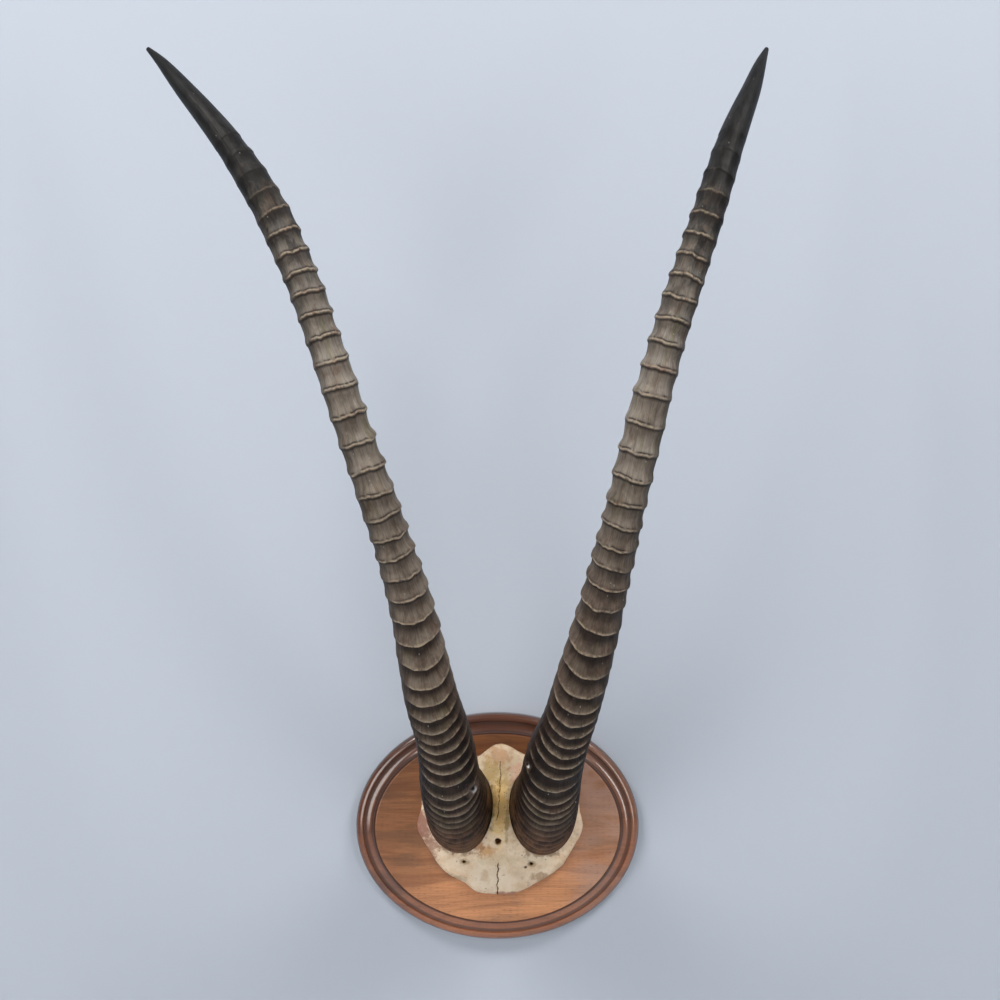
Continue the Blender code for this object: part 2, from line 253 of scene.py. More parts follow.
def work_on(piece):
    nothing_selected()
    piece.select_set(True)
    bpy.context.view_layer.objects.active = piece


def edit_all():
    bpy.ops.object.mode_set(mode="EDIT")
    bpy.ops.mesh.select_all(action="SELECT")


def fix_shape():
    """Sinks the selected object's place, turn and size into its mesh."""
    bpy.ops.object.transform_apply(location=True, rotation=True, scale=True)


def resize_flat(across, up):
    bpy.ops.transform.resize(value=(across, 1.0, up), center_override=(0.0, 0.0, 0.0))


def oval_sheet(name, half_width, half_height, fill, setback=0.0):
    """A flat oval that faces along Y, filled or open, ready to be drawn out in edit mode."""
    nothing_selected()
    bpy.ops.mesh.primitive_circle_add(vertices=PLAQUE_SIDES, radius=1.0, fill_type=fill,
                                      location=(0.0, setback * MM, 0.0), rotation=(math.pi / 2, 0.0, 0.0))
    sheet = bpy.context.object
    sheet.name = sheet.data.name = name
    sheet.scale = (half_width * MM, half_height * MM, 1.0)
    work_on(sheet)
    fix_shape()
    edit_all()
    return sheet


def round_bar(sides, radius, across, up, back, front):
    """A round cutter that runs between two distances from the wall."""
    nothing_selected()
    bpy.ops.mesh.primitive_cylinder_add(vertices=sides, radius=radius * MM, depth=(front - back) * MM,
                                        location=(across * MM, -(front + back) / 2 * MM, up * MM),
                                        rotation=(math.pi / 2, 0.0, 0.0))
    fix_shape()
    return bpy.context.object


def rolled_sheet(name, places, marks):
    """A flat grid rolled into a closed tube. Places has a loop of points for each row along it.

    Marks are kept on the points: a name, and an array with a value or vector for each place.
    """
    rows, sides = places.shape[:2]
    nothing_selected()
    bpy.ops.mesh.primitive_grid_add(x_subdivisions=sides, y_subdivisions=rows - 1, size=0.1)
    tube = bpy.context.object
    tube.name = tube.data.name = name

    def with_seam(values):
        return np.concatenate([values, values[:, :1]], axis=1)

    tube.data.vertices.foreach_set("co", (with_seam(places) * MM).astype(np.float32).ravel())
    for mark, values in marks.items():
        kind, field = {3: ("FLOAT_VECTOR", "vector"), 4: ("FLOAT_COLOR", "color")}[values.shape[2]]
        kept = tube.data.attributes.new(mark, kind, "POINT")
        kept.data.foreach_set(field, with_seam(values).astype(np.float32).ravel())
    edit_all()
    bpy.ops.mesh.remove_doubles(threshold=SEAM_JOIN)
    bpy.ops.mesh.select_all(action="SELECT")
    bpy.ops.mesh.fill_holes(sides=0)
    bpy.ops.mesh.select_all(action="SELECT")
    bpy.ops.mesh.normals_make_consistent(inside=False)
    bpy.ops.object.mode_set(mode="OBJECT")
    return tube


def cut_away(piece, cutter):
    """Takes the cutter's shape out of the piece, and then the cutter away."""
    work_on(piece)
    step = piece.modifiers.new("cut", "BOOLEAN")
    step.operation = "DIFFERENCE"
    step.solver = "EXACT"
    step.object = cutter
    bpy.ops.object.modifier_apply(modifier=step.name)
    bpy.data.objects.remove(cutter)


def finish_piece(piece, node, surface, sharp_angle):
    """Fixes the piece's place in its mesh, smooths it up to its arrises and puts it on its solid."""
    work_on(piece)
    fix_shape()
    bpy.ops.object.shade_smooth_by_angle(angle=math.radians(sharp_angle))
    piece.data.materials.clear()
    piece.data.materials.append(surface)
    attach(piece, "root")
    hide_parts(node)


# The plaque

def plaque_steps():
    """The board's edge from back to face: rows of (distance in from the rim, distance from the wall)."""
    steps = [(BACK_CHAMFER, 0.0), (0.0, BACK_CHAMFER), (0.0, THUMB_FOOT)]
    for step in range(1, THUMB_STEPS + 1):
        turn = math.pi / 2 * step / THUMB_STEPS
        steps.append((THUMB_RADIUS * (1 - math.cos(turn)), THUMB_FOOT + THUMB_RADIUS * math.sin(turn)))
    cove_foot = THUMB_FOOT + THUMB_RADIUS - QUIRK_DEPTH
    steps.append((THUMB_RADIUS + QUIRK_SLOPE, cove_foot))
    for step in range(COVE_STEPS + 1):
        turn = math.pi / 2 * step / COVE_STEPS
        inset = COVE_START + (MOULDING_WIDTH - COVE_START) * math.sin(turn)
        steps.append((inset, PLAQUE_THICK - (PLAQUE_THICK - cove_foot) * math.cos(turn)))
    last_inset, last_out = steps.pop()
    for step in range(ARRIS_STEPS + 1):
        turn = math.pi / 2 * step / ARRIS_STEPS
        inset = last_inset + FACE_ARRIS * (1 - math.cos(turn))
        steps.append((inset, last_out - FACE_ARRIS * (1 - math.sin(turn))))
    return steps


def make_plaque(surface):
    """The board, drawn out of a round blank step by step from its back to its face."""
    steps = plaque_steps()
    width, height = PLAQUE_HALF_WIDTH - steps[0][0], PLAQUE_HALF_HEIGHT - steps[0][0]
    board = oval_sheet("plaque_board", width, height, "NGON")
    for (inset, out), (next_inset, next_out) in zip(steps, steps[1:]):
        bpy.ops.mesh.extrude_region_move(TRANSFORM_OT_translate={"value": (0.0, (out - next_out) * MM, 0.0)})
        next_width, next_height = PLAQUE_HALF_WIDTH - next_inset, PLAQUE_HALF_HEIGHT - next_inset
        resize_flat(next_width / width, next_height / height)
        width, height = next_width, next_height
    bpy.ops.mesh.select_all(action="SELECT")
    bpy.ops.mesh.normals_make_consistent(inside=False)
    bpy.ops.object.mode_set(mode="OBJECT")
    entry, top = KEYHOLE_ENTRY_HEIGHT, KEYHOLE_ENTRY_HEIGHT + KEYHOLE_TRAVEL
    # The entry, the neck and the wide hollow behind the lip, which is a little smaller than the entry
    cut_away(board, slot_bar(KEYHOLE_ENTRY_RADIUS, entry, entry, -CUT_CLEARANCE, KEYHOLE_DEPTH))
    cut_away(board, slot_bar(KEYHOLE_NECK_RADIUS, entry, top, -CUT_CLEARANCE, KEYHOLE_LIP + 1.0))
    cut_away(board, slot_bar(KEYHOLE_ENTRY_RADIUS - 0.1, entry, top, KEYHOLE_LIP, KEYHOLE_DEPTH - 0.1))
    finish_piece(board, "plaque", surface, BOARD_SMOOTH_ANGLE)


def slot_bar(radius, low, high, back, front):
    """A cutter with round ends, upright from low to high, between two distances from the wall."""
    bar = round_bar(KEYHOLE_SIDES, radius, 0.0, low, back, front)
    for point in bar.data.vertices:
        if point.co.z > low * MM + 1e-7:
            point.co.z += (high - low) * MM
    return bar


# The skull cap

def cap_outline(turns):
    """The outline's distance from the cap's centre at each turn."""
    wrapped = [(x, 0.0, z) for x, z in CAP_OUTLINE[-4:] + CAP_OUTLINE + CAP_OUTLINE[:4]]
    fine = smooth_curve(wrapped, OUTLINE_POINTS)[:, (0, 2)] - np.array(CAP_CENTRE)
    angles = np.arctan2(fine[:, 1], fine[:, 0])
    order = np.argsort(angles)
    return np.interp(turns, angles[order], np.hypot(fine[:, 0], fine[:, 1])[order], period=2 * math.pi)


def cap_height(x, z, share):
    """How far the bone stands above its sawn back, at a share of the way from its centre to its rim."""
    crown = (1 - share**CAP_CROWN_FALL) ** CAP_CROWN_SHOULDER
    across = (x - MIDLINE) / SADDLE_WIDTH
    up = (z - SADDLE_HEIGHT) / SADDLE_LENGTH
    return CAP_EDGE + CAP_CROWN * crown + SADDLE_RISE * np.exp(-across**2 - up**2)


def near_line(x, z, line):
    """The distance across from a line that runs up or down, and how far past its ends a place is."""
    rows = np.array(sorted(line, key=lambda row: row[1]), float)
    across = np.abs(x - np.interp(z, rows[:, 1], rows[:, 0]))
    beyond = np.maximum(rows[0, 1] - z, z - rows[-1, 1])
    return across, beyond


def make_skull_cap(surface):
    even = np.linspace(-math.pi, math.pi, CAP_SIDES, endpoint=False)
    seam_turns = [math.atan2(z - CAP_CENTRE[1], x - CAP_CENTRE[0]) for x, z in (SUTURE[6], CRACK[3])]
    steps = range(-SEAM_COLUMNS, SEAM_COLUMNS + 1)
    close = [turn + step * SEAM_TURN for turn in seam_turns for step in steps]
    turns = np.unique(np.concatenate([even, close]))
    edge = cap_outline(turns)
    foot = PLAQUE_THICK + GAP
    random = np.random.RandomState(5)
    ragged = sum(random.uniform(0.1, 0.35) * np.sin(count * turns + random.uniform(0, 6.28))
                 for count in (7, 11, 17, 23, 31, 47))
    edge = edge - 0.5 + 0.45 * ragged

    # Rows from the foot of the rim, over its rounded edge and on to the centre: each is a share of the way
    # out, with a height above the sawn back while it is on the upright rim
    rows = [(1.0, 0.0), (1.0, CAP_EDGE * 0.35), (1.0, CAP_EDGE - CAP_EDGE_ROUND)]
    for step in range(1, CAP_EDGE_STEPS + 1):
        turn = math.pi / 2 * step / CAP_EDGE_STEPS
        rows.append((1.0 - CAP_EDGE_ROUND * (1 - math.cos(turn)) / CAP_USUAL_RADIUS, None))
    rows += [(share, None) for share in np.linspace(rows[-1][0] - 0.008, 0.006, CAP_ROWS)]
    places = np.zeros((len(rows), len(turns), 3))
    for i, (share, thickness) in enumerate(rows):
        x = CAP_CENTRE[0] + share * edge * np.cos(turns)
        z = CAP_CENTRE[1] + share * edge * np.sin(turns)
        if thickness is None:
            height = cap_height(x, z, share)
            inner = (1.0 - share) * CAP_USUAL_RADIUS
            if inner < CAP_EDGE_ROUND:
                level = math.sqrt(max(CAP_EDGE_ROUND**2 - (CAP_EDGE_ROUND - inner) ** 2, 0.0))
                height = np.minimum(height, cap_height(x, z, 0.97)) - (CAP_EDGE_ROUND - level)
        else:
            height = np.full(len(turns), thickness)
        places[i, :, 0], places[i, :, 1], places[i, :, 2] = x, -foot - height, z

    # Lumps of the bone, its brow lobe with a hollow on each side, a furrow on each side at the top, the
    # groove down the brow, dishes round the holes and the two open lines
    x, z = places[..., 0], places[..., 2]
    inside = smooth_step(np.array([1.0 - share for share, _ in rows])[:, None] * CAP_USUAL_RADIUS, 0.5, 7.0)
    lumps = np.zeros(x.shape)
    for size, seed, length, patches in ((0.5, 21, 14, 19), (0.22, 22, 5, 61), (0.09, 23, 2.2, 127)):
        across, up = (x + LUMP_FIELD) / length, (z + LUMP_FIELD) / (2 * LUMP_FIELD)
        lumps += size * unevenness(seed, across, up, patches)
    lobe = 1.6 * np.exp(-((x - 2) / 21) ** 4 - ((z + 44) / 13) ** 2)
    flanks = 1.5 * np.exp(-((x + 38) / 11) ** 2 - ((z + 30) / 9) ** 2)
    flanks += 1.3 * np.exp(-((x - 43) / 11) ** 2 - ((z + 30) / 9) ** 2)
    fan = 1.4 * np.exp(-((np.abs(x - 4) - 9) / 4) ** 2 - ((z - 62) / 9) ** 2)
    brow = 0.8 * smooth_step(z, -20, -34) * np.exp(-((x - 0.5) / 3.0) ** 2)
    relief = (lumps + lobe - flanks - fan - brow) * inside
    for centre, radius, dish in ((MIDLINE_HOLE, MIDLINE_HOLE_RADIUS, 1.3), (BROW_HOLES[0], 1.6, 1.6),
                                 (BROW_HOLES[1], 1.6, 1.6)):
        away = np.hypot(x - centre[0], z - centre[1])
        relief -= dish * np.exp(-np.maximum(away - radius, 0.0) / 1.2) * inside
    for line, half_width, depth in ((SUTURE, 0.42, 2.4), (CRACK, 0.42, 0.7)):
        across, beyond = near_line(x, z, line)
        relief -= depth * np.exp(-((across / half_width) ** 2)) * (1 - smooth_step(beyond, -2.0, 0.5))
    relief[0] = 0.0
    relief[1] = np.maximum(relief[1], -1.0)
    places[..., 1] -= relief

    cap = rolled_sheet("skull_cap_bone", places, {})
    for name in HORN_STATIONS:
        cut_away(cap, horn_pocket(name))
    cut_away(cap, hole_bar(MIDLINE_HOLE, MIDLINE_HOLE_RADIUS, 1.0, 0.0))
    cut_away(cap, hole_bar(BROW_HOLES[0], BROW_HOLE_RADIUS, 0.72, 0.15))
    cut_away(cap, hole_bar(BROW_HOLES[1], BROW_HOLE_RADIUS, 0.78, -0.2))
    finish_piece(cap, "skull_cap", surface, CAP_SMOOTH_ANGLE)


def hole_bar(centre, radius, squash, tilt):
    """A slightly uneven round cutter that runs from the floor of a hole to well clear of the bone."""
    floor = PLAQUE_THICK + GAP + HOLE_FLOOR
    bar = round_bar(HOLE_SIDES, radius, centre[0], centre[1], floor, floor + HOLE_BAR_LENGTH)
    middle = Vector((centre[0] * MM, 0.0, centre[1] * MM))
    for point in bar.data.vertices:
        flat = Vector((point.co.x - middle.x, point.co.z - middle.z))
        turn = math.atan2(flat.y, flat.x)
        flat *= 1 + 0.06 * math.sin(3 * turn + 1.0) + 0.04 * math.sin(5 * turn)
        point.co.x = middle.x + flat.x * math.cos(tilt) - flat.y * squash * math.sin(tilt)
        point.co.z = middle.z + flat.x * math.sin(tilt) + flat.y * squash * math.cos(tilt)
    return bar


# The horns

def horn_line(name):
    """A horn's centre line from its stations: lengths along it, centres, courses and half widths."""
    fine = smooth_curve(HORN_STATIONS[name], LINE_POINTS)
    centres = np.stack([fine[:, 0], -fine[:, 1], fine[:, 2]], axis=1)
    along = np.concatenate([[0.0], np.cumsum(np.linalg.norm(np.diff(centres, axis=0), axis=1))])
    return along, centres, np.gradient(centres, along, axis=0), fine[:, 3]


def unit(vectors):
    return vectors / np.linalg.norm(vectors, axis=-1, keepdims=True)


def horn_skin(name, lengths, turns, sunk):
    """Places on a horn at lengths along it and turns round it, sunk below the crests of its rings."""
    along, centres, courses, half_widths = horn_line(name)
    centre = np.stack([np.interp(lengths, along, centres[:, k]) for k in range(3)], axis=-1)
    course = unit(np.stack([np.interp(lengths, along, courses[:, k]) for k in range(3)], axis=-1))
    half = np.interp(lengths, along, half_widths)
    half = half * (BASE_TUCK + (1 - BASE_TUCK) * np.clip(lengths / BASE_TUCK_LENGTH, 0.0, 1.0))
    settle = smooth_step(lengths, 0.0, BASE_TURN)[..., None]
    square = unit((1 - settle) * np.array([0.0, -1.0, 0.0]) + settle * course)
    side = unit(np.array([1.0, 0.0, 0.0]) - square[..., :1] * square)
    front = np.cross(side, square)
    stretch = 1 / np.maximum(np.sum(square * course, axis=-1), 0.5)
    reach = half - sunk
    depth = (reach + half * (from_table(DEPTH_RATIO, lengths) - 1)) * stretch
    return centre + (reach * np.cos(turns))[..., None] * side + (depth * np.sin(turns))[..., None] * front


def ring_lengths(name):
    """Where a horn's rings are, by length along it."""
    crests = [FIRST_RING[name]]
    while crests[-1] < LAST_RING:
        crests.append(crests[-1] + float(from_table(RING_GAPS, crests[-1])))
    return crests


def horn_pocket(name):
    """The hollow in the bone that a horn stands in: the horn's own shape without rings, grown by the gap."""
    turns = np.linspace(0.0, 2 * math.pi, HORN_SIDES, endpoint=False)
    lengths, turns = np.meshgrid(np.array(POCKET_LENGTHS), turns, indexing="ij")
    return rolled_sheet(name + "_pocket", horn_skin(name, lengths, turns, np.full(lengths.shape, -GAP)), {})


def horn_rows(stops):
    """A horn's rows of points: the stop below each, and its share of the way to the stop above."""
    rings = len(stops) - 2
    rows = [(0, share) for share in np.linspace(0.0, 0.94, ROOT_ROWS)]
    for i in range(1, rings):
        shares = WRINKLE_SHARES if stops[i + 1] - stops[i] < CLOSE_RINGS else RING_SHARES
        rows += [(i, share) for share in shares]
    rows += [(rings, share) for share in 1 - (1 - np.linspace(0.0, 1.0, TIP_ROWS)) ** 1.08]
    return np.array([row[0] for row in rows])[:, None], np.array([row[1] for row in rows])[:, None]


def loose_rings(random, stops, turns):
    """How far each ring wanders up and down the horn at each turn, and how high it is beside the others."""
    wander = np.zeros((len(stops), len(turns)))
    proud = np.ones(len(stops))
    for i in range(1, len(stops) - 1):
        loose = 0.62 if stops[i] > 60 else 0.45
        for count in (1, 2, 3, 5, 8):
            size = loose * random.uniform(0.3, 1.0) * (0.45 if count > 4 else 1.0)
            wander[i] += size * np.sin(count * turns + random.uniform(0, 6.28))
        nicks = random.uniform(-1, 1, RING_NICKS)
        nicks = np.concatenate([nicks, nicks[:1]])
        places = turns / (2 * math.pi) * RING_NICKS
        wander[i] += NICK_SIZE * np.interp(places, np.arange(RING_NICKS + 1), nicks)
        sag = float(from_table(RING_SAG, stops[i]))
        wander[i] -= sag * 0.5 * np.cos(turns - math.pi / 2)
        proud[i] = random.uniform(0.6, 1.15)
    return wander, proud


def rounded_end(from_end):
    """How far the skin sinks over the last millimetres of a horn, to close its tip."""
    past = np.maximum(TIP_RADIUS - from_end, 0.0)
    closing = TIP_RADIUS - np.sqrt(np.maximum(TIP_RADIUS**2 - past**2, 0.0))
    return np.minimum(closing, TIP_RADIUS - TIP_REMNANT)


def near_chip(name, places):
    """1 at the middle of a horn's chip and falling to 0 round it."""
    (x, out, z), radius = CHIPS[name]
    away = np.linalg.norm((places - np.array([x, -out, z])) * (1.0, 0.4, 1.0), axis=-1)
    return np.exp(-((away / radius) ** 2))


def make_horn(name, surface):
    seed = SEEDS[name]
    inward = 1.0 if name == "horn_left" else -1.0
    total = horn_line(name)[0][-1]
    stops = [0.0] + ring_lengths(name) + [total]
    below, share = horn_rows(stops)
    turns = np.linspace(0.0, 2 * math.pi, HORN_SIDES, endpoint=False)[None, :]
    round_share = turns / (2 * math.pi)
    wander, proud = loose_rings(np.random.RandomState(seed), stops, turns[0])
    stop_lengths = np.array(stops)
    lengths = (1 - share) * (stop_lengths[below] + wander[below[:, 0]])
    above = np.minimum(below + 1, len(stops) - 1)
    lengths = lengths + share * (stop_lengths[above] + wander[above[:, 0]])
    lengths = np.clip(lengths, 0.0, total)
    share = np.broadcast_to(share, lengths.shape)
    around = np.broadcast_to(turns, lengths.shape)
    ringed = (below > 0) & (below < len(stops) - 2)
    gap = stop_lengths[above] - stop_lengths[below]

    # The shape of the skin between two rings, most marked on each ring's strong side
    lip = smooth_step(lengths, 45.0, 100.0)
    beaded = smooth_step(lengths, 270.0, 360.0)
    shaped = (1 - lip) * from_table(FOLD_SHAPE, share) + lip * from_table(LIP_SHAPE, share)
    shaped = (1 - beaded) * shaped + beaded * from_table(BEAD_SHAPE, share)
    drop = np.where(ringed, shaped, 0.0)
    strong_turn = math.pi / 2 - inward * np.radians(from_table(STRONG_TURN, lengths))
    strong = 0.5 + 0.5 * np.cos(turns - strong_turn)
    weak = from_table(WEAK_SIDE, lengths)
    narrow = 0.33 * (1 - smooth_step(lengths, 230, 340))
    sector = weak + (1 - weak) * smooth_step(strong, 0.12 + narrow, 0.9)
    sector = sector * (1 + 0.3 * unevenness(seed + 6, lengths / 11.0, round_share, 13))
    height = from_table(RING_HEIGHTS, lengths) * (proud[below] * (1 - share) + proud[above] * share)
    sunk = drop * height * sector

    # The bead on each crest, worn pale and partly painted highlight, the dark lines of painted shade above
    # and painted shadow under it, and painted shade in the hollows
    from_crest = np.where(share < 0.5, share * gap, (share - 1) * gap)
    patchy = unevenness(seed + 1, lengths / 9.0, round_share, 13)
    fine_patch = unevenness(seed + 2, lengths / 3.0, round_share, 47)
    lit_turn = math.pi / 2 - inward * 0.22
    facing = smooth_step(np.cos(turns - lit_turn) + 0.3 * patchy, 0.35, 0.8)
    ring_zone = lip * (1 - smooth_step(lengths, 590, 660)) * ringed
    bead_width = 1.25 - 0.4 * beaded
    bead = np.exp(-((from_crest - 0.7 + 0.6 * beaded) / bead_width) ** 2)
    bead = bead * facing * ring_zone * (0.8 + 0.2 * beaded)
    groove = np.exp(-((from_crest - 1.75) / 0.6) ** 2) * facing * ring_zone * (0.25 + 0.75 * beaded)
    groove = groove * smooth_step(fine_patch + patchy, -0.9, 0.3)
    painted_under_shadow = 1.15 * np.exp(-((from_crest + 1.7) / 0.9) ** 2) * ring_zone * np.clip(0.2 + 0.8 * sector, 0, 1)
    face_on = smooth_step(lengths, 150.0, 290.0)
    shade = smooth_step(share - 0.09 - 0.21 * face_on, 0.0, 0.26 + 0.2 * face_on)
    shade = shade * (1 - smooth_step(share, 0.95, 1.0)) * ringed * np.clip(0.15 + sector, 0, 1)
    folds = (1 - lip) * ringed * smooth_step(share, 0.1, 0.4) * (1 - smooth_step(share, 0.9, 1.0))
    softer = 1 - 0.6 * beaded * (1 - smooth_step(lengths, 560, 640))
    shade = np.clip(shade * lip * softer * (1 - 0.25 * smooth_step(lengths, 600, 650)) + 0.9 * folds, 0, 1)
    sunk += 0.5 * groove
    sunk += 0.35 * np.abs(fine_patch) * bead

    # Flutes down the walls, lumps and grit, and fine wrinkles at the sides of the root
    flutes = unevenness(seed + 3, lengths / 16.0, round_share, 46)
    lumps = unevenness(seed + 4, lengths / 22.0, round_share, 9)
    grit = unevenness(seed + 5, lengths / 1.6, round_share, 110)
    calm = 1 - smooth_step(lengths, 600, 680)
    clear = smooth_step(lengths, 12, 24)
    uneven = 0.14 * (1 + flutes) * calm + (0.22 * calm + 0.08) * (1 + lumps) + 0.06 * (1 + grit) * calm
    sunk += clear * uneven
    side_lines = np.sin(2 * math.pi * lengths / 2.6 + 3.0 * patchy) * smooth_step(1 - strong, 0.25, 0.7)
    sunk += 0.09 * (1 + side_lines) * (1 - smooth_step(lengths, 90, 150)) * clear
    sunk += rounded_end(total - lengths)
    whole = horn_skin(name, lengths, around, sunk)
    places = horn_skin(name, lengths, around, sunk + CHIP_DEPTH * near_chip(name, whole))

    # What the material reads: the horn laid out straight, and the masks of its rings
    straight = [STRAIGHT_RADIUS * np.cos(around), STRAIGHT_RADIUS * np.sin(around), lengths]
    straight = np.stack(straight, axis=-1) * MM
    masks = np.stack([bead, np.clip(groove + painted_under_shadow, 0, 1), shade, lengths / total], axis=-1)
    horn = rolled_sheet(name + "_sheath", places, {"straight": straight, "rings": masks})
    finish_piece(horn, name, surface, HORN_SMOOTH_ANGLE)


# Materials

# Stains on the bone, and painted shadow at the two edges of the waist between the horns: centre across and
# up, reach across and up, raggedness, strength and colour
BONE_STAINS_AND_SHADOWS = [
    (-35, 22, 36, 42, 0.9, 0.45, 0.4, 0.25, 0.12),
    (41, 21, 36, 42, 0.9, 0.45, 0.4, 0.25, 0.12),
    (-6, -40, 20, 16, 0.6, 0.6, 0.86, 0.74, 0.57),
    (34, -20, 18, 9, 0.7, 0.5, 0.73, 0.64, 0.48),
    (1.5, 26, 13, 42, 0.5, 0.9, 0.93, 0.66, 0.27),
    (3, 22, 7, 24, 0.7, 0.65, 0.74, 0.43, 0.13),
    (3, 62, 34, 20, 0.4, 0.6, 0.52, 0.38, 0.215),
    (6, 44, 9, 4, 0.9, 0.45, 0.42, 0.24, 0.09),
    (-9, -17, 9, 7, 0.9, 0.85, 0.64, 0.35, 0.14),
    (3, -24, 22, 6, 0.9, 0.25, 0.56, 0.47, 0.25),
    (-10, -38, 5, 9, 0.8, 0.6, 0.6, 0.4, 0.23),
    (20, -38, 7, 6, 0.9, 0.35, 0.64, 0.47, 0.32),
    (17, 52, 7, 11, 0.9, 0.7, 0.7, 0.4, 0.27),
    (2, 66, 15, 10, 1, 0.65, 0.52, 0.25, 0.11),
    (-6, 52, 11, 16, 0.9, 0.7, 0.56, 0.37, 0.13),
    (-67, 4, 11, 20, 1.2, 0.95, 0.37, 0.175, 0.12),
    (-58, -14, 8, 13, 1.2, 0.85, 0.42, 0.22, 0.15),
    (72, 6, 7, 12, 0.9, 0.35, 0.64, 0.44, 0.33),
    (41, -43, 17, 6, 0.9, 0.75, 0.4, 0.24, 0.13),
    (58, -33, 9, 5, 0.9, 0.35, 0.56, 0.39, 0.25),
    # Painted shadow at the left edge of the waist between the horns
    (-5.5, 22, 3.2, 19, 0.9, 0.85, 0.15, 0.12, 0.05),
    (9, -57, 17, 3, 0.8, 0.8, 0.36, 0.12, 0.07),
    (-40, -43, 16, 4, 0.9, 0.5, 0.3, 0.19, 0.11),
    (-29.5, -27, 5, 3.2, 0.5, 0.7, 0.36, 0.24, 0.11),
    (30, -28.5, 5, 3.4, 0.5, 0.7, 0.33, 0.215, 0.1),
    (25, -31, 1.7, 1.5, 0.5, 1, 0.12, 0.06, 0.03),
    (0.6, -7.5, 4.4, 4.2, 0.3, 0.45, 0.3, 0.17, 0.08),
    (-31, -15, 19, 6, 1.2, 0.8, 0.3, 0.17, 0.085),
    (-17, -10, 7, 6, 1, 0.7, 0.48, 0.23, 0.09),
    (40, -18, 18, 5, 1.2, 0.75, 0.33, 0.19, 0.1),
    (-3, 30, 4, 14, 0.8, 0.6, 0.56, 0.3, 0.08),
    # Painted shadow at the right edge of the waist between the horns
    (8.5, 10, 2.6, 22, 0.9, 0.65, 0.3, 0.18, 0.06),
    (-70, -2, 6, 12, 1, 0.6, 0.4, 0.17, 0.12),
]
# The horn's colour by the share of its length from the root
HORN_TONES = [
    (0.0, (0.066, 0.034, 0.019)), (0.07, (0.078, 0.047, 0.031)), (0.15, (0.140, 0.098, 0.072)),
    (0.30, (0.205, 0.164, 0.131)), (0.45, (0.170, 0.141, 0.117)), (0.60, (0.252, 0.224, 0.196)),
    (0.70, (0.150, 0.137, 0.124)), (0.77, (0.027, 0.025, 0.024)), (1.0, (0.008, 0.0075, 0.0075)),
]
# The width, from side to side, that the curves of the seam and the crack are drawn in
LINE_FIELD = 20.0


def new_material(name):
    """A material, its tree of nodes and its Principled shader."""
    made = bpy.data.materials.new(name)
    made.use_nodes = True
    return made, made.node_tree, made.node_tree.nodes["Principled BSDF"]


def fill(tree, node, values):
    """Sets a node's inputs, by name or number, or joins them to a socket."""
    for socket, value in values.items():
        if isinstance(value, bpy.types.NodeSocket):
            tree.links.new(value, node.inputs[socket])
        else:
            node.inputs[socket].default_value = value


def add(tree, kind, values=None, **settings):
    """A new node with these settings and inputs."""
    made = tree.nodes.new(kind)
    for setting, value in settings.items():
        setattr(made, setting, value)
    fill(tree, made, values or {})
    return made


def sums(tree, operation, first, second=0.0, third=0.0):
    return add(tree, "ShaderNodeMath", {0: first, 1: second, 2: third}, operation=operation).outputs[0]


def times(tree, first, second):
    return sums(tree, "MULTIPLY", first, second)


def vectors(tree, operation, first, second):
    return add(tree, "ShaderNodeVectorMath", {0: first, 1: second}, operation=operation).outputs[0]


def length_of(tree, vector):
    return add(tree, "ShaderNodeVectorMath", {0: vector}, operation="LENGTH").outputs["Value"]


def spread(tree, value, low, high, to_low=0.0, to_high=1.0, way="SMOOTHSTEP"):
    """A value stretched from one range to another and held within its ends."""
    made = add(tree, "ShaderNodeMapRange", interpolation_type=way)
    fill(tree, made, {"Value": value, "From Min": low, "From Max": high})
    fill(tree, made, {"To Min": to_low, "To Max": to_high})
    return made.outputs[0]


def window(tree, value, low, low_end, high_end, high):
    """1 between two ends of a range, and falling to 0 outside them."""
    return times(tree, spread(tree, value, low, low_end), spread(tree, value, high_end, high, 1.0, 0.0))


def noise(tree, values, dimensions="3D"):
    return add(tree, "ShaderNodeTexNoise", values, noise_dimensions=dimensions).outputs[0]


def blend(tree, share, first, second, way="MIX"):
    """One colour laid over another. A colour is a socket or three numbers."""
    first = first if isinstance(first, bpy.types.NodeSocket) else (*first, 1.0)
    second = second if isinstance(second, bpy.types.NodeSocket) else (*second, 1.0)
    made = add(tree, "ShaderNodeMix", {0: share, 6: first, 7: second}, data_type="RGBA", blend_type=way)
    return made.outputs[2]


def lay(tree, colour, mask, amount, tone):
    """A tone laid over a colour by an amount of a mask."""
    return blend(tree, times(tree, mask, amount), colour, tone)


def tint(tree, colour, share, tone):
    """A colour multiplied by a tone where the share is 1."""
    return blend(tree, share, colour, blend(tree, 1.0, colour, tone, "MULTIPLY"))


def scaled(tree, vector, scale, shift=(0.0, 0.0, 0.0)):
    return add(tree, "ShaderNodeMapping", {"Vector": vector, "Location": shift, "Scale": scale}).outputs[0]


def dress(tree, shader, colour, rough, height, strength, distance):
    """Gives a shader its colour, its roughness and its fine relief."""
    bump = add(tree, "ShaderNodeBump", {"Strength": strength, "Distance": distance, "Height": height})
    fill(tree, shader, {"Base Color": colour, "Roughness": rough, "Normal": bump.outputs[0]})


